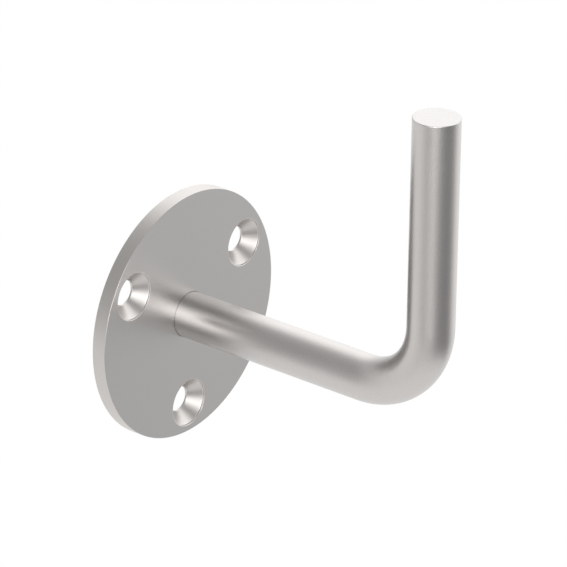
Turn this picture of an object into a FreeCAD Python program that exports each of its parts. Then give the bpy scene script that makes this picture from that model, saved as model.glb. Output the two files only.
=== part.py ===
"""Handrail bracket: a round wall plate with three countersunk screw holes, and a round bar bent
through a right angle that stands out of the plate's middle and turns up to carry the rail.

The bar is pushed into a bore in the plate and welded from behind, so the front shows only a
hairline joint. The weld fills a groove between the bar's chamfered end and the chamfered bore and
is dressed just below the back face, so that the plate lies flat on the wall.

Millimetres. The wall is the plane y = 0 and the bracket stands out of it along -Y, with +Z up.
The origin is the middle of the plate's back face, on the axis of the bar's straight leg.
"""
import FreeCAD, Part
import os

import Sketcher

doc = FreeCAD.newDocument("handrail_bracket")

# Driving sizes, in millimetres, degrees and counts
sizes = doc.addObject("Spreadsheet::Sheet", "sizes")
DRIVING_SIZES = {
    "plate_diameter": 66.0,
    "plate_thickness": 4.0,
    "edge_break": 0.08,
    "screw_count": 3,
    "screw_circle_diameter": 50.0,
    "screw_first_angle": 30,
    "screw_hole_diameter": 6.6,
    "countersink_diameter": 12.5,
    "countersink_angle": 90,
    "countersink_recess": 0.5,
    "rod_diameter": 12.0,
    "rod_bore_clearance": 0.07,
    "rod_end_round": 0.2,
    "bend_radius": 20.0,
    "wall_distance": 80.5,
    "rail_height": 75.5,
    "weld_leg": 1.5,
    "weld_recess": 0.2,
}
for row, (alias, value) in enumerate(DRIVING_SIZES.items(), start=1):
    sizes.set(f"A{row}", alias)
    sizes.set(f"B{row}", str(value))
    sizes.setAlias(f"B{row}", alias)
doc.recompute()


def origin_feature(body, role):
    """One of the body's own origin planes or axes, such as XZ_Plane or Y_Axis."""
    return next(f for f in body.Origin.OriginFeatures if f.Role == role)


def new_sketch(body, name, plane_role, offset=None):
    """A sketch on one of the body's origin planes, moved along its normal by an expression."""
    sketch = body.newObject("Sketcher::SketchObject", name)
    sketch.AttachmentSupport = [(origin_feature(body, plane_role), "")]
    sketch.MapMode = "FlatFace"
    if offset:
        sketch.setExpression("AttachmentOffset.Base.z", offset)
    return sketch


def driven(sketch, constraint, name, expression):
    """Adds a dimension to the sketch, names it and binds it to the sheet."""
    index = sketch.addConstraint(constraint)
    sketch.renameConstraint(index, name)
    sketch.setExpression(f"Constraints.{name}", expression)


def centred_circle(sketch, diameter_expression):
    """A circle about the sketch's origin with its diameter taken from the sheet."""
    circle = sketch.addGeometry(Part.Circle(FreeCAD.Vector(), FreeCAD.Vector(0, 0, 1), 1.0))
    sketch.addConstraint(Sketcher.Constraint("Coincident", circle, 3, -1, 1))
    driven(sketch, Sketcher.Constraint("Diameter", circle, 2.0), "diameter", diameter_expression)


def round_edges(feature, radius, y_planes):
    """Names of the feature's circular edges of that radius about the Y direction on those planes."""
    names = []
    for index, edge in enumerate(feature.Shape.Edges, start=1):
        curve = edge.Curve
        if not isinstance(curve, Part.Circle) or abs(abs(curve.Axis.y) - 1) > 1e-6:
            continue
        on_plane = any(abs(curve.Center.y - y) < 1e-6 for y in y_planes)
        if on_plane and abs(curve.Radius - radius) < 1e-6:
            names.append(f"Edge{index}")
    return names


# Wall plate: a disc cut from flat bar, bored for the rod and countersunk for the wall screws
plate = doc.addObject("PartDesign::Body", "wall_plate")
plate.Label = "wall_plate"

outline = new_sketch(plate, "plate_outline", "XZ_Plane")
centred_circle(outline, "sizes.plate_diameter")
disc = plate.newObject("PartDesign::Pad", "plate_disc")
disc.Profile = outline
disc.setExpression("Length", "sizes.plate_thickness")

bore_outline = new_sketch(plate, "rod_bore_outline", "XZ_Plane")
centred_circle(bore_outline, "sizes.rod_diameter + 2 * sizes.rod_bore_clearance")
bore = plate.newObject("PartDesign::Pocket", "rod_bore")
bore.Profile = bore_outline
bore.Type = "ThroughAll"
bore.Midplane = True
doc.recompute()

weld_groove = plate.newObject("PartDesign::Chamfer", "weld_groove")
bore_radius = sizes.rod_diameter / 2 + sizes.rod_bore_clearance
weld_groove.Base = (bore, round_edges(bore, bore_radius, [0.0]))
weld_groove.setExpression("Size", "sizes.weld_leg + sizes.weld_recess")
doc.recompute()

screw_spot = new_sketch(plate, "screw_spot", "XZ_Plane", "sizes.plate_thickness")
spot = screw_spot.addGeometry(Part.Circle(FreeCAD.Vector(20, 10, 0), FreeCAD.Vector(0, 0, 1), 1.0))
screw_spot.addConstraint(Sketcher.Constraint("Diameter", spot, 2.0))
driven(
    screw_spot, Sketcher.Constraint("DistanceX", -1, 1, spot, 3, 20.0), "across",
    "sizes.screw_circle_diameter / 2 * cos(sizes.screw_first_angle * 1 deg)",
)
driven(
    screw_spot, Sketcher.Constraint("DistanceY", -1, 1, spot, 3, 10.0), "up",
    "sizes.screw_circle_diameter / 2 * sin(sizes.screw_first_angle * 1 deg)",
)
doc.recompute()
screw_hole = plate.newObject("PartDesign::Hole", "screw_hole")
screw_hole.Profile = screw_spot
doc.recompute()
screw_hole.DepthType = "ThroughAll"
screw_hole.HoleCutType = "Counterdrill"
screw_hole.setExpression("Diameter", "sizes.screw_hole_diameter")
screw_hole.setExpression("HoleCutDiameter", "sizes.countersink_diameter")
screw_hole.setExpression("HoleCutCountersinkAngle", "sizes.countersink_angle")
screw_hole.setExpression("HoleCutDepth", "sizes.countersink_recess")
doc.recompute()
screw_holes = plate.newObject("PartDesign::PolarPattern", "screw_holes")
screw_holes.Originals = [screw_hole]
screw_holes.Axis = (origin_feature(plate, "Y_Axis"), [""])
screw_holes.Angle = 360
screw_holes.setExpression("Occurrences", "sizes.screw_count")
plate.Tip = screw_holes
doc.recompute()

front_y = -sizes.plate_thickness
broken_edges = plate.newObject("PartDesign::Chamfer", "broken_edges")
mouth_edges = round_edges(screw_holes, sizes.countersink_diameter / 2, [front_y])
rim_edges = round_edges(screw_holes, sizes.plate_diameter / 2, [front_y, 0.0])
broken_edges.Base = (screw_holes, mouth_edges + rim_edges)
broken_edges.setExpression("Size", "sizes.edge_break")
doc.recompute()

# Bent rod: one length of round bar, straight out of the plate, one bend, then straight up
rod = doc.addObject("PartDesign::Body", "bent_rod")
rod.Label = "bent_rod"

route = new_sketch(rod, "rod_centreline", "YZ_Plane")
leg = route.addGeometry(Part.LineSegment(FreeCAD.Vector(-1, 0, 0), FreeCAD.Vector(-60, 0, 0)))
upright = route.addGeometry(Part.LineSegment(FreeCAD.Vector(-80, 20, 0), FreeCAD.Vector(-80, 75, 0)))
bend_circle = Part.Circle(FreeCAD.Vector(-60, 20, 0), FreeCAD.Vector(0, 0, 1), 20)
bend = route.addGeometry(Part.ArcOfCircle(bend_circle, 3.14159265, 4.71238898))
route.addConstraint(Sketcher.Constraint("PointOnObject", leg, 1, -1))
route.addConstraint(Sketcher.Constraint("Horizontal", leg))
route.addConstraint(Sketcher.Constraint("Vertical", upright))
route.addConstraint(Sketcher.Constraint("Tangent", leg, 2, bend, 2))
route.addConstraint(Sketcher.Constraint("Tangent", bend, 1, upright, 1))
driven(route, Sketcher.Constraint("DistanceX", leg, 1, -1, 1, 1.0), "set_back", "sizes.weld_recess")
driven(route, Sketcher.Constraint("Radius", bend, 20.0), "bend_radius", "sizes.bend_radius")
driven(
    route, Sketcher.Constraint("DistanceX", upright, 2, -1, 1, 80.0), "wall_distance",
    "sizes.wall_distance",
)
driven(
    route, Sketcher.Constraint("DistanceY", -1, 1, upright, 2, 75.0), "rail_height",
    "sizes.rail_height",
)

section = new_sketch(rod, "rod_section", "XZ_Plane", "sizes.weld_recess")
centred_circle(section, "sizes.rod_diameter")
bar = rod.newObject("PartDesign::AdditivePipe", "bent_bar")
bar.Profile = section
bar.Spine = (route, [])
doc.recompute()

rod_radius = sizes.rod_diameter / 2
weld_chamfer = rod.newObject("PartDesign::Chamfer", "weld_chamfer")
weld_chamfer.Base = (bar, round_edges(bar, rod_radius, [-sizes.weld_recess]))
weld_chamfer.setExpression("Size", "sizes.weld_leg")
doc.recompute()

softened_end = rod.newObject("PartDesign::Fillet", "softened_end")
top_edges = [
    f"Edge{index}"
    for index, edge in enumerate(weld_chamfer.Shape.Edges, start=1)
    if isinstance(edge.Curve, Part.Circle) and abs(edge.Curve.Center.z - sizes.rail_height) < 1e-6
]
softened_end.Base = (weld_chamfer, top_edges)
softened_end.setExpression("Radius", "sizes.rod_end_round")
doc.recompute()

# Rear weld: the ring of weld metal between the rod's chamfered end and the chamfered bore
weld = doc.addObject("PartDesign::Body", "rear_weld")
weld.Label = "rear_weld"

bead = new_sketch(weld, "weld_section", "YZ_Plane")
corners = [(-2, 6), (-2, 6.1), (-0.2, 7.8), (-0.2, 4.5)]
sides = []
for start, end in zip(corners, corners[1:] + corners[:1]):
    line = Part.LineSegment(FreeCAD.Vector(*start, 0), FreeCAD.Vector(*end, 0))
    sides.append(bead.addGeometry(line))
root, plate_side, crown, rod_side = sides
for first, second in zip(sides, sides[1:] + sides[:1]):
    bead.addConstraint(Sketcher.Constraint("Coincident", first, 2, second, 1))
bead.addConstraint(Sketcher.Constraint("Vertical", root))
bead.addConstraint(Sketcher.Constraint("Vertical", crown))
driven(
    bead, Sketcher.Constraint("DistanceX", root, 1, -1, 1, 2.0), "root_depth",
    "sizes.weld_leg + sizes.weld_recess",
)
driven(
    bead, Sketcher.Constraint("DistanceX", crown, 1, -1, 1, 0.2), "crown_depth", "sizes.weld_recess",
)
driven(
    bead, Sketcher.Constraint("DistanceY", -1, 1, root, 1, 6.0), "rod_radius",
    "sizes.rod_diameter / 2",
)
driven(
    bead, Sketcher.Constraint("DistanceY", -1, 1, root, 2, 6.1), "bore_radius",
    "sizes.rod_diameter / 2 + sizes.rod_bore_clearance",
)
driven(
    bead, Sketcher.Constraint("DistanceY", -1, 1, crown, 1, 7.8), "outer_radius",
    "sizes.rod_diameter / 2 + sizes.rod_bore_clearance + sizes.weld_leg",
)
driven(
    bead, Sketcher.Constraint("DistanceY", -1, 1, crown, 2, 4.5), "inner_radius",
    "sizes.rod_diameter / 2 - sizes.weld_leg",
)
ring = weld.newObject("PartDesign::Revolution", "weld_ring")
ring.Profile = bead
ring.ReferenceAxis = (origin_feature(weld, "Y_Axis"), [""])
ring.Angle = 360
doc.recompute()

# Checks, then one STEP file for each piece
failed = [o.Name for o in doc.Objects if "Invalid" in o.State or "Error" in o.State]
if failed:
    raise RuntimeError(f"these objects failed to build: {failed}")
pieces = [plate, rod, weld]
for piece in pieces:
    if piece.Shape.isNull() or not piece.Shape.isValid() or len(piece.Shape.Solids) != 1:
        raise RuntimeError(f"{piece.Label} is not one valid solid")

os.makedirs("parts", exist_ok=True)
for piece in pieces:
    piece.Shape.exportStep(f"parts/{piece.Label}.step")
    box = piece.Shape.BoundBox
    print(f"{piece.Label}: {piece.Shape.Volume:.1f} mm3, {box}")
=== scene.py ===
from math import cos, radians, sin

import bmesh
import bpy
from mathutils import Matrix, Vector

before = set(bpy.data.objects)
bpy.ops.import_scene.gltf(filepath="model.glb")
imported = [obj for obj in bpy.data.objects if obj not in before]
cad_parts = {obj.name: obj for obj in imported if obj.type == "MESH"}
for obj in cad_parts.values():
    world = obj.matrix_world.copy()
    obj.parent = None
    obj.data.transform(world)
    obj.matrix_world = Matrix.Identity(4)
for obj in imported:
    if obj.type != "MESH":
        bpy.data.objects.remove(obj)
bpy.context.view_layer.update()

# Wall plate: a 4 mm disc of stainless steel, bored for the rod and countersunk for three screws.
# Its front was blasted with fine beads, which leaves an even satin skin with hardly any grain
# direction. Its back was ground flat after welding, and keeps the belt's marks and a heat tint.
BLASTED_STEEL = (0.560, 0.546, 0.536, 1.0)
NOISE_LOW, NOISE_HIGH = 0.3, 0.7  # nearly all of a noise texture lies between these
UNEVEN_ROUGHNESS = 0.015


def node_group(name, inputs, outputs):
    """An empty shader group with the named sockets, and its input and output nodes."""
    group = bpy.data.node_groups.new(name, "ShaderNodeTree")
    for label, kind, value in inputs:
        socket = group.interface.new_socket(label, in_out="INPUT", socket_type=kind)
        if value is not None:
            socket.default_value = value
    for label, kind in outputs:
        group.interface.new_socket(label, in_out="OUTPUT", socket_type=kind)
    entry = group.nodes.new("NodeGroupInput")
    leave = group.nodes.new("NodeGroupOutput")
    return group, entry, leave


def blasted_skin():
    """Satin steel: fine pits from the beads, and cloudy patches where the blast was uneven."""
    group, entry, leave = node_group(
        "blasted_skin",
        [
            ("Color", "NodeSocketColor", BLASTED_STEEL),
            ("Roughness", "NodeSocketFloat", 0.3),
            ("Pits per metre", "NodeSocketFloat", 9000.0),
            ("Patches per metre", "NodeSocketFloat", 60.0),
            ("Darkest", "NodeSocketFloat", 0.985),
            ("Lightest", "NodeSocketFloat", 1.015),
        ],
        [
            ("Color", "NodeSocketColor"),
            ("Roughness", "NodeSocketFloat"),
            ("Height", "NodeSocketFloat"),
        ],
    )
    link = group.links.new
    place = group.nodes.new("ShaderNodeTexCoord")
    pits = group.nodes.new("ShaderNodeTexNoise")
    pits.inputs["Detail"].default_value = 2.0
    pits.inputs["Roughness"].default_value = 0.6
    link(place.outputs["Object"], pits.inputs["Vector"])
    link(entry.outputs["Pits per metre"], pits.inputs["Scale"])
    patches = group.nodes.new("ShaderNodeTexNoise")
    patches.inputs["Detail"].default_value = 3.0
    link(place.outputs["Object"], patches.inputs["Vector"])
    link(entry.outputs["Patches per metre"], patches.inputs["Scale"])

    spread = group.nodes.new("ShaderNodeMapRange")
    spread.inputs["From Min"].default_value = NOISE_LOW
    spread.inputs["From Max"].default_value = NOISE_HIGH
    spread.inputs["To Min"].default_value = -UNEVEN_ROUGHNESS
    spread.inputs["To Max"].default_value = UNEVEN_ROUGHNESS
    link(patches.outputs["Fac"], spread.inputs["Value"])
    rougher = group.nodes.new("ShaderNodeMath")
    rougher.operation = "ADD"
    link(entry.outputs["Roughness"], rougher.inputs[0])
    link(spread.outputs["Result"], rougher.inputs[1])
    link(rougher.outputs["Value"], leave.inputs["Roughness"])

    shade = group.nodes.new("ShaderNodeMapRange")
    shade.inputs["From Min"].default_value = NOISE_LOW
    shade.inputs["From Max"].default_value = NOISE_HIGH
    link(entry.outputs["Darkest"], shade.inputs["To Min"])
    link(entry.outputs["Lightest"], shade.inputs["To Max"])
    link(pits.outputs["Fac"], shade.inputs["Value"])
    tint = group.nodes.new("ShaderNodeVectorMath")
    tint.operation = "SCALE"
    link(entry.outputs["Color"], tint.inputs["Vector"])
    link(shade.outputs["Result"], tint.inputs["Scale"])
    link(tint.outputs["Vector"], leave.inputs["Color"])
    link(pits.outputs["Fac"], leave.inputs["Height"])
    return group


BLASTED_SKIN = blasted_skin()
EDGE_SAMPLES = 6
RUBBED_AND_HIGHLIT_FROM, RUBBED_AND_HIGHLIT_FULLY = 0.998, 0.95  # cosine of the turn from the face to the rounding


def worn_edges_with_highlight():
    """Edges rounded, and brightened in a band as wide as the rounding: partly rubbed by handling,
    partly a painted highlight along the rounding.
    """
    group, entry, leave = node_group(
        "worn_edges_with_highlight",
        [
            ("Color", "NodeSocketColor", BLASTED_STEEL),
            ("Rubbed and highlight color", "NodeSocketColor", (0.64, 0.62, 0.605, 1.0)),
            ("Radius", "NodeSocketFloat", 0.0002),
            ("Amount", "NodeSocketFloat", 1.0),
        ],
        [("Color", "NodeSocketColor"), ("Normal", "NodeSocketVector")],
    )
    link = group.links.new
    rounding = group.nodes.new("ShaderNodeBevel")
    rounding.samples = EDGE_SAMPLES
    link(entry.outputs["Radius"], rounding.inputs["Radius"])
    surface = group.nodes.new("ShaderNodeNewGeometry")
    turn = group.nodes.new("ShaderNodeVectorMath")
    turn.operation = "DOT_PRODUCT"
    link(rounding.outputs["Normal"], turn.inputs[0])
    link(surface.outputs["Normal"], turn.inputs[1])
    wear_and_highlight = group.nodes.new("ShaderNodeMapRange")
    wear_and_highlight.inputs["From Min"].default_value = RUBBED_AND_HIGHLIT_FROM
    wear_and_highlight.inputs["From Max"].default_value = RUBBED_AND_HIGHLIT_FULLY
    link(turn.outputs["Value"], wear_and_highlight.inputs["Value"])
    link(entry.outputs["Amount"], wear_and_highlight.inputs["To Max"])
    # The band mixes toward the rubbed color: part wear, part painted highlight on the rounded
    # edge.
    rubbed_and_highlight = group.nodes.new("ShaderNodeMix")
    rubbed_and_highlight.data_type = "RGBA"
    link(wear_and_highlight.outputs["Result"], rubbed_and_highlight.inputs["Factor"])
    link(entry.outputs["Color"], rubbed_and_highlight.inputs["A"])
    link(entry.outputs["Rubbed and highlight color"], rubbed_and_highlight.inputs["B"])
    link(rubbed_and_highlight.outputs["Result"], leave.inputs["Color"])
    link(rounding.outputs["Normal"], leave.inputs["Normal"])
    return group


WORN_EDGES_WITH_HIGHLIGHT = worn_edges_with_highlight()
MARKS_PER_METRE = (2600, 100, 45)  # across the belt, into the plate, along the belt


def grinding_marks():
    """Fine straight marks of a grinding belt that ran up and down the back of the plate."""
    group, entry, leave = node_group(
        "grinding_marks",
        [
            ("Color", "NodeSocketColor", BLASTED_STEEL),
            ("Tone", "NodeSocketFloat", 0.3),
            ("Front", "NodeSocketFloat", -0.0015),
            ("Back", "NodeSocketFloat", -0.0003),
        ],
        [
            ("Color", "NodeSocketColor"),
            ("Height", "NodeSocketFloat"),
            ("Mask", "NodeSocketFloat"),
        ],
    )
    link = group.links.new
    place = group.nodes.new("ShaderNodeTexCoord")
    parts = group.nodes.new("ShaderNodeSeparateXYZ")
    link(place.outputs["Object"], parts.inputs["Vector"])
    mask = group.nodes.new("ShaderNodeMapRange")
    link(parts.outputs["Y"], mask.inputs["Value"])
    link(entry.outputs["Front"], mask.inputs["From Min"])
    link(entry.outputs["Back"], mask.inputs["From Max"])
    link(mask.outputs["Result"], leave.inputs["Mask"])
    stretch = group.nodes.new("ShaderNodeVectorMath")
    stretch.operation = "MULTIPLY"
    stretch.inputs[1].default_value = MARKS_PER_METRE
    link(place.outputs["Object"], stretch.inputs[0])
    lines = group.nodes.new("ShaderNodeTexNoise")
    lines.inputs["Scale"].default_value = 1.0
    lines.inputs["Detail"].default_value = 3.0
    lines.inputs["Roughness"].default_value = 0.65
    link(stretch.outputs["Vector"], lines.inputs["Vector"])
    level = group.nodes.new("ShaderNodeMath")
    level.operation = "SUBTRACT"
    level.inputs[1].default_value = 0.5
    link(lines.outputs["Fac"], level.inputs[0])
    shown = group.nodes.new("ShaderNodeMath")
    shown.operation = "MULTIPLY"
    link(level.outputs["Value"], shown.inputs[0])
    link(mask.outputs["Result"], shown.inputs[1])
    link(shown.outputs["Value"], leave.inputs["Height"])
    light = group.nodes.new("ShaderNodeMath")
    light.operation = "MULTIPLY_ADD"
    light.inputs[2].default_value = 1.0
    link(shown.outputs["Value"], light.inputs[0])
    link(entry.outputs["Tone"], light.inputs[1])
    ground = group.nodes.new("ShaderNodeVectorMath")
    ground.operation = "SCALE"
    link(entry.outputs["Color"], ground.inputs["Vector"])
    link(light.outputs["Value"], ground.inputs["Scale"])
    link(ground.outputs["Vector"], leave.inputs["Color"])
    return group


GRINDING_MARKS = grinding_marks()
TINT_INSIDE, TINT_OUTSIDE = 0.0095, 0.0165  # metres from the middle of the weld
TINT_WANDER = 0.004
CLOUDS_PER_METRE = 220


def heat_tint():
    """Straw-coloured heat tint on the back, which fades out a few millimetres from the weld."""
    group, entry, leave = node_group(
        "heat_tint",
        [
            ("Color", "NodeSocketColor", BLASTED_STEEL),
            ("Straw", "NodeSocketColor", (0.50, 0.435, 0.345, 1.0)),
            ("Depth", "NodeSocketFloat", 0.55),
            ("Mask", "NodeSocketFloat", 1.0),
        ],
        [("Color", "NodeSocketColor")],
    )
    link = group.links.new
    place = group.nodes.new("ShaderNodeTexCoord")
    around = group.nodes.new("ShaderNodeVectorMath")
    around.operation = "LENGTH"
    link(place.outputs["Object"], around.inputs[0])
    cloud = group.nodes.new("ShaderNodeTexNoise")
    cloud.inputs["Scale"].default_value = CLOUDS_PER_METRE
    link(place.outputs["Object"], cloud.inputs["Vector"])
    wander = group.nodes.new("ShaderNodeMath")
    wander.operation = "MULTIPLY_ADD"
    wander.inputs[1].default_value = TINT_WANDER
    link(cloud.outputs["Fac"], wander.inputs[0])
    link(around.outputs["Value"], wander.inputs[2])
    reach = group.nodes.new("ShaderNodeMapRange")
    reach.interpolation_type = "SMOOTHSTEP"
    reach.inputs["From Min"].default_value = TINT_OUTSIDE
    reach.inputs["From Max"].default_value = TINT_INSIDE
    link(entry.outputs["Depth"], reach.inputs["To Max"])
    link(wander.outputs["Value"], reach.inputs["Value"])
    behind = group.nodes.new("ShaderNodeMath")
    behind.operation = "MULTIPLY"
    link(reach.outputs["Result"], behind.inputs[0])
    link(entry.outputs["Mask"], behind.inputs[1])
    tint = group.nodes.new("ShaderNodeMix")
    tint.data_type = "RGBA"
    link(behind.outputs["Value"], tint.inputs["Factor"])
    link(entry.outputs["Color"], tint.inputs["A"])
    link(entry.outputs["Straw"], tint.inputs["B"])
    link(tint.outputs["Result"], leave.inputs["Color"])
    return group


HEAT_TINT = heat_tint()


def satin_steel(
    name,
    color,
    roughness,
    pits_per_metre,
    pit_depth,
    speckle,
    rubbed_and_highlight,
    rounding,
    groove_depth,
    groove_tone,
):
    """Blasted steel with rubbed edges that carry a painted highlight, and with grinding marks and
    heat tint at the wall.
    """
    finish = bpy.data.materials.new(name)
    finish.use_nodes = True
    nodes, link = finish.node_tree.nodes, finish.node_tree.links.new
    steel = nodes["Principled BSDF"]
    steel.inputs["Metallic"].default_value = 1.0

    skin = nodes.new("ShaderNodeGroup")
    skin.node_tree = BLASTED_SKIN
    skin.inputs["Color"].default_value = color
    skin.inputs["Roughness"].default_value = roughness
    skin.inputs["Pits per metre"].default_value = pits_per_metre
    skin.inputs["Darkest"].default_value = 1 - speckle
    skin.inputs["Lightest"].default_value = 1 + speckle
    link(skin.outputs["Roughness"], steel.inputs["Roughness"])

    edges = nodes.new("ShaderNodeGroup")
    edges.name = "worn_edges_with_highlight"
    edges.node_tree = WORN_EDGES_WITH_HIGHLIGHT
    edges.inputs["Rubbed and highlight color"].default_value = rubbed_and_highlight
    edges.inputs["Radius"].default_value = rounding
    link(skin.outputs["Color"], edges.inputs["Color"])

    marks = nodes.new("ShaderNodeGroup")
    marks.node_tree = GRINDING_MARKS
    marks.inputs["Tone"].default_value = groove_tone
    link(edges.outputs["Color"], marks.inputs["Color"])

    tint = nodes.new("ShaderNodeGroup")
    tint.node_tree = HEAT_TINT
    link(marks.outputs["Color"], tint.inputs["Color"])
    link(marks.outputs["Mask"], tint.inputs["Mask"])
    link(tint.outputs["Color"], steel.inputs["Base Color"])

    pits = nodes.new("ShaderNodeBump")
    pits.inputs["Strength"].default_value = 1.0
    pits.inputs["Distance"].default_value = pit_depth
    link(skin.outputs["Height"], pits.inputs["Height"])
    link(edges.outputs["Normal"], pits.inputs["Normal"])
    grooves = nodes.new("ShaderNodeBump")
    grooves.inputs["Strength"].default_value = 1.0
    grooves.inputs["Distance"].default_value = groove_depth
    link(marks.outputs["Height"], grooves.inputs["Height"])
    link(pits.outputs["Normal"], grooves.inputs["Normal"])
    link(grooves.outputs["Normal"], steel.inputs["Normal"])
    return finish


def face_tone():
    """Multiplies the color of the faces under the mask by the given tone."""
    group, entry, leave = node_group(
        "face_tone",
        [
            ("Color", "NodeSocketColor", BLASTED_STEEL),
            ("Tone", "NodeSocketColor", (1.0, 1.0, 1.0, 1.0)),
            ("Mask", "NodeSocketFloat", 1.0),
        ],
        [("Color", "NodeSocketColor")],
    )
    link = group.links.new
    toned = group.nodes.new("ShaderNodeMix")
    toned.data_type = "RGBA"
    toned.blend_type = "MULTIPLY"
    link(entry.outputs["Mask"], toned.inputs["Factor"])
    link(entry.outputs["Color"], toned.inputs["A"])
    link(entry.outputs["Tone"], toned.inputs["B"])
    link(toned.outputs["Result"], leave.inputs["Color"])
    return group


FACE_TONE = face_tone()


def tone_faces(finish, mask, tone):
    """Places a face tone between the finish's color and its shader."""
    nodes, link = finish.node_tree.nodes, finish.node_tree.links.new
    color = nodes["Principled BSDF"].inputs["Base Color"]
    toned = nodes.new("ShaderNodeGroup")
    toned.node_tree = FACE_TONE
    toned.inputs["Tone"].default_value = tone
    link(mask, toned.inputs["Mask"])
    link(color.links[0].from_socket, toned.inputs["Color"])
    link(toned.outputs["Color"], color)


CUT_FACE_TONE = (1.015, 1.0, 0.985, 1.0)
FLAT_FACING, CUT_FACING = 0.97, 0.85  # how squarely a face looks along the leg


def tone_cut_faces(finish):
    """The turned rim and countersinks are a shade warmer than the flat faces."""
    nodes, link = finish.node_tree.nodes, finish.node_tree.links.new
    place = nodes.new("ShaderNodeTexCoord")
    parts = nodes.new("ShaderNodeSeparateXYZ")
    link(place.outputs["Normal"], parts.inputs["Vector"])
    flatness = nodes.new("ShaderNodeMath")
    flatness.operation = "ABSOLUTE"
    link(parts.outputs["Y"], flatness.inputs[0])
    cut = nodes.new("ShaderNodeMapRange")
    cut.inputs["From Min"].default_value = FLAT_FACING
    cut.inputs["From Max"].default_value = CUT_FACING
    link(flatness.outputs["Value"], cut.inputs["Value"])
    tone_faces(finish, cut.outputs["Result"], CUT_FACE_TONE)


SCREW_CIRCLE_RADIUS = 0.025
MOUTHS_INSIDE, MOUTHS_OUTSIDE = 0.0068, 0.0070  # from the screw circle, past the mouths
TURNED_ROUNDING = 0.00008
TURNED_RUBBING_AND_HIGHLIGHT = 0.1


def sharpen_turned_edges(finish):
    """The rim and the bore were turned last: they are sharper, and carry less of the rubbed
    brightening and painted highlight than the mouths.
    """
    nodes, link = finish.node_tree.nodes, finish.node_tree.links.new
    edges = nodes["worn_edges_with_highlight"]
    place = nodes.new("ShaderNodeTexCoord")
    flat = nodes.new("ShaderNodeVectorMath")
    flat.operation = "MULTIPLY"
    flat.inputs[1].default_value = (1, 0, 1)
    link(place.outputs["Object"], flat.inputs[0])
    outward = nodes.new("ShaderNodeVectorMath")
    outward.operation = "LENGTH"
    link(flat.outputs["Vector"], outward.inputs[0])
    past_circle = nodes.new("ShaderNodeMath")
    past_circle.operation = "SUBTRACT"
    past_circle.inputs[1].default_value = SCREW_CIRCLE_RADIUS
    link(outward.outputs["Value"], past_circle.inputs[0])
    from_circle = nodes.new("ShaderNodeMath")
    from_circle.operation = "ABSOLUTE"
    link(past_circle.outputs["Value"], from_circle.inputs[0])
    for socket, turned in (("Radius", TURNED_ROUNDING), ("Amount", TURNED_RUBBING_AND_HIGHLIGHT)):
        change = nodes.new("ShaderNodeMapRange")
        change.inputs["From Min"].default_value = MOUTHS_INSIDE
        change.inputs["From Max"].default_value = MOUTHS_OUTSIDE
        change.inputs["To Min"].default_value = edges.inputs[socket].default_value
        change.inputs["To Max"].default_value = turned
        link(from_circle.outputs["Value"], change.inputs["Value"])
        link(change.outputs["Result"], edges.inputs[socket])


def dress(node, finish):
    """Gives a CAD node its finish."""
    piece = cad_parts[node]
    piece.data.materials.clear()
    piece.data.materials.append(finish)


plate_steel = satin_steel(
    "plate_steel",
    color=BLASTED_STEEL,
    roughness=0.33,
    pits_per_metre=9000,
    pit_depth=0.000006,
    speckle=0.015,
    # The plate's rubbed color is far lighter than its steel: mostly a painted highlight along the
    # rounded edges of the mouths.
    rubbed_and_highlight=(0.90, 0.88, 0.86, 1.0),
    rounding=0.0002,
    groove_depth=0.000015,
    groove_tone=0.3,
)
tone_cut_faces(plate_steel)
sharpen_turned_edges(plate_steel)
dress("wall_plate", plate_steel)

# Bent rod: one length of 12 mm round stainless bar, bent cold through a right angle and sawn flat
# at the top, where the rail sits. Its other end passes through the plate's bore and is welded
# behind. It was blasted together with the plate, and its skin came out a little coarser.
TOP_HIGHLIGHT_FROM, TOP_HIGHLIGHT_TO = 0.0750, 0.0753  # height over the leg's axis, just below the sawn face
# Painted highlight: the tone that makes the top face lighter and less warm.
TOP_FACE_HIGHLIGHT_TONE = (1.013, 1.024, 1.031, 1.0)


def paint_top_face_highlight(finish):
    """Paints a highlight on the sawn face at the top: a shade lighter and less warm than the
    blasted skin.
    """
    nodes, link = finish.node_tree.nodes, finish.node_tree.links.new
    place = nodes.new("ShaderNodeTexCoord")
    parts = nodes.new("ShaderNodeSeparateXYZ")
    link(place.outputs["Object"], parts.inputs["Vector"])
    top_highlight_mask = nodes.new("ShaderNodeMapRange")
    top_highlight_mask.inputs["From Min"].default_value = TOP_HIGHLIGHT_FROM
    top_highlight_mask.inputs["From Max"].default_value = TOP_HIGHLIGHT_TO
    link(parts.outputs["Z"], top_highlight_mask.inputs["Value"])
    tone_faces(finish, top_highlight_mask.outputs["Result"], TOP_FACE_HIGHLIGHT_TONE)


rod_steel = satin_steel(
    "rod_steel",
    color=(0.570, 0.549, 0.536, 1.0),
    roughness=0.31,
    pits_per_metre=3200,
    pit_depth=0.000032,
    speckle=0.045,
    rubbed_and_highlight=(0.60, 0.58, 0.565, 1.0),
    rounding=0.00006,
    groove_depth=0.000015,
    groove_tone=0.3,
)
# The rod's top face gets a painted highlight, lighter and less warm than the rest.
paint_top_face_highlight(rod_steel)
dress("bent_rod", rod_steel)

# Rear weld: the ring of weld metal in the groove between the rod's end and the plate's bore. It
# is ground just below the back face, so that the plate lies flat on the wall.
weld_steel = satin_steel(
    "weld_steel",
    color=(0.40, 0.39, 0.38, 1.0),
    roughness=0.38,
    pits_per_metre=9000,
    pit_depth=0.000008,
    speckle=0.015,
    rubbed_and_highlight=(0.50, 0.485, 0.47, 1.0),
    rounding=0.0002,
    groove_depth=0.000027,
    groove_tone=0.6,
)
dress("rear_weld", weld_steel)

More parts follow.
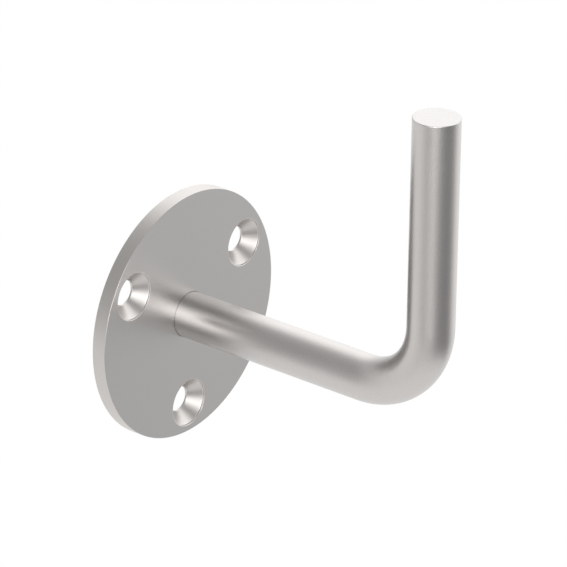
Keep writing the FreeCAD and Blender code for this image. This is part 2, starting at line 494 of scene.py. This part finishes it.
# Studio: a white room. To the camera and to clear materials it is plain white. The steel mirrors
# the same white with soft patches in it: three dark ones, such as the unlit sides of a room, and
# the two soft boxes that light the bracket.
def direction(azimuth, elevation):
    """Unit vector: azimuth 0 is straight in front of the plate, 90 to its right."""
    turn, lift = radians(azimuth), radians(elevation)
    return Vector((sin(turn) * cos(lift), -cos(turn) * cos(lift), sin(lift)))


def soft_patch():
    """Paints a round patch with a feathered rim over the brightness of the room behind it."""
    group, entry, leave = node_group(
        "soft_patch",
        [
            ("Brightness behind", "NodeSocketFloat", 1.0),
            ("Middle", "NodeSocketVector", None),
            ("Brightness", "NodeSocketFloat", 1.0),
            ("Inner angle", "NodeSocketFloat", 0.3),
            ("Outer angle", "NodeSocketFloat", 0.9),
        ],
        [("Brightness", "NodeSocketFloat")],
    )
    link = group.links.new
    place = group.nodes.new("ShaderNodeTexCoord")
    spread = group.nodes.new("ShaderNodeVectorMath")
    spread.operation = "DOT_PRODUCT"
    link(place.outputs["Generated"], spread.inputs[0])
    link(entry.outputs["Middle"], spread.inputs[1])
    angle = group.nodes.new("ShaderNodeMath")
    angle.operation = "ARCCOSINE"
    link(spread.outputs["Value"], angle.inputs[0])
    fade = group.nodes.new("ShaderNodeMapRange")
    fade.interpolation_type = "SMOOTHSTEP"
    link(angle.outputs["Value"], fade.inputs["Value"])
    link(entry.outputs["Outer angle"], fade.inputs["From Min"])
    link(entry.outputs["Inner angle"], fade.inputs["From Max"])
    painted = group.nodes.new("ShaderNodeMix")
    link(fade.outputs["Result"], painted.inputs["Factor"])
    link(entry.outputs["Brightness behind"], painted.inputs["A"])
    link(entry.outputs["Brightness"], painted.inputs["B"])
    link(painted.outputs["Result"], leave.inputs["Brightness"])
    return group


SOFT_PATCH = soft_patch()
WHITE = (1, 1, 1, 1)
PATCHES = (
    # azimuth, elevation, half angle, brightness: three dark patches, then the two soft boxes
    (-51.0, 41.0, 80.0, 0.42),
    (10.0, -40.5, 36.5, 0.29),
    (162.0, 28.0, 34.0, 0.69),
    (-58.5, 17.0, 26.5, 3.6),
    (88.0, 32.5, 47.5, 1.69),
)
FEATHER = 18.0  # degrees on each side of a patch's rim

world = bpy.data.worlds.new("studio")
bpy.context.scene.world = world
world.use_nodes = True
sky_nodes, sky_link = world.node_tree.nodes, world.node_tree.links.new
mirrored = sky_nodes["Background"]
mirrored.inputs["Color"].default_value = WHITE
behind = None
for azimuth, elevation, half_angle, brightness in PATCHES:
    patch = sky_nodes.new("ShaderNodeGroup")
    patch.node_tree = SOFT_PATCH
    patch.inputs["Middle"].default_value = direction(azimuth, elevation)
    patch.inputs["Brightness"].default_value = brightness
    patch.inputs["Inner angle"].default_value = radians(half_angle - FEATHER)
    patch.inputs["Outer angle"].default_value = radians(half_angle + FEATHER)
    if behind:
        sky_link(behind, patch.inputs["Brightness behind"])
    behind = patch.outputs["Brightness"]
sky_link(behind, mirrored.inputs["Strength"])
plain = sky_nodes.new("ShaderNodeBackground")
plain.inputs["Color"].default_value = WHITE
sky_path = sky_nodes.new("ShaderNodeLightPath")
plain_seen = sky_nodes.new("ShaderNodeMath")
plain_seen.operation = "MAXIMUM"
sky_link(sky_path.outputs["Is Camera Ray"], plain_seen.inputs[0])
sky_link(sky_path.outputs["Is Transmission Ray"], plain_seen.inputs[1])
sky_mix = sky_nodes.new("ShaderNodeMixShader")
sky_link(plain_seen.outputs["Value"], sky_mix.inputs[0])
sky_link(mirrored.outputs["Background"], sky_mix.inputs[1])
sky_link(plain.outputs["Background"], sky_mix.inputs[2])
sky_link(sky_mix.outputs["Shader"], sky_nodes["World Output"].inputs["Surface"])

# Floor: a sheet of white paper well below the bracket. It is round in front, and drawn out at the
# back so that the camera looks onto it. The camera sees it almost plain white, and the little
# that is left of its own shade carries the bracket's faint shadow.
FLOOR_LEVEL = -1.3
FLOOR_RADIUS = 1.39
FLOOR_STRETCH = 2.5
FLOOR_SIDES = 96
AWAY_FROM_CAMERA = direction(128.5, 0)
PAPER_COLOR, PAPER_ROUGHNESS = (0.9, 0.9, 0.9, 1), 0.9
WHITE_SHARE = 0.985
paper = bpy.data.materials.new("floor")
paper.use_nodes = True
paper.cycles.emission_sampling = "NONE"
paper_nodes, paper_link = paper.node_tree.nodes, paper.node_tree.links.new
matt = paper_nodes["Principled BSDF"]
matt.inputs["Base Color"].default_value = PAPER_COLOR
matt.inputs["Roughness"].default_value = PAPER_ROUGHNESS
glow = paper_nodes.new("ShaderNodeEmission")
glow.inputs["Strength"].default_value = 1
paper_path = paper_nodes.new("ShaderNodeLightPath")
seen = paper_nodes.new("ShaderNodeMath")
seen.operation = "MULTIPLY"
seen.inputs[1].default_value = WHITE_SHARE
paper_link(paper_path.outputs["Is Camera Ray"], seen.inputs[0])
reflected = paper_nodes.new("ShaderNodeMath")
reflected.operation = "MAXIMUM"
paper_link(paper_path.outputs["Is Glossy Ray"], reflected.inputs[0])
paper_link(paper_path.outputs["Is Transmission Ray"], reflected.inputs[1])
white = paper_nodes.new("ShaderNodeMath")
white.operation = "MAXIMUM"
paper_link(seen.outputs["Value"], white.inputs[0])
paper_link(reflected.outputs["Value"], white.inputs[1])
paper_mix = paper_nodes.new("ShaderNodeMixShader")
paper_link(white.outputs["Value"], paper_mix.inputs[0])
paper_link(matt.outputs["BSDF"], paper_mix.inputs[1])
paper_link(glow.outputs["Emission"], paper_mix.inputs[2])
paper_link(paper_mix.outputs["Shader"], paper_nodes["Material Output"].inputs["Surface"])
floor_mesh = bpy.data.meshes.new("floor")
sheet = bmesh.new()
bmesh.ops.create_circle(sheet, cap_ends=True, segments=FLOOR_SIDES, radius=FLOOR_RADIUS)
for corner in sheet.verts:
    beyond = max(corner.co.dot(AWAY_FROM_CAMERA), 0)
    corner.co += AWAY_FROM_CAMERA * beyond * (FLOOR_STRETCH - 1)
    corner.co.z = FLOOR_LEVEL
sheet.to_mesh(floor_mesh)
sheet.free()
floor_mesh.materials.append(paper)
floor = bpy.data.objects.new("floor", floor_mesh)
bpy.context.scene.collection.objects.link(floor)

# Camera: the photograph's viewing angle, from the front left and above. It stands far back with a
# long lens, so that the outlines run nearly parallel. Its place was fitted to the outlines of the
# plate, the holes, the rod and the bend.
AROUND, ABOVE, TILT = radians(-51.496), radians(24.864), radians(0.881)
EYE_RIGHT, EYE_UP, EYE_BACK = 0.026975, 0.006611, 1.3472
FOCAL_PIXELS, PHOTO_WIDTH = 5302.0, 567
SENSOR_WIDTH = 36
back = Vector((sin(AROUND) * cos(ABOVE), -cos(AROUND) * cos(ABOVE), sin(ABOVE)))
level = Vector((cos(AROUND), sin(AROUND), 0))
rise = back.cross(level)
right = cos(TILT) * level + sin(TILT) * rise
up = cos(TILT) * rise - sin(TILT) * level
eye = EYE_RIGHT * right + EYE_UP * up + EYE_BACK * back
camera_data = bpy.data.cameras.new("camera")
camera_data.sensor_width = SENSOR_WIDTH
camera_data.lens = SENSOR_WIDTH * FOCAL_PIXELS / PHOTO_WIDTH
camera_data.clip_start = 0.01
camera_data.clip_end = 50
camera = bpy.data.objects.new("camera", camera_data)
camera.matrix_world = Matrix.Translation(eye) @ Matrix((right, up, back)).transposed().to_4x4()
bpy.context.scene.collection.objects.link(camera)
bpy.context.scene.camera = camera
bpy.context.scene.view_settings.view_transform = "Standard"
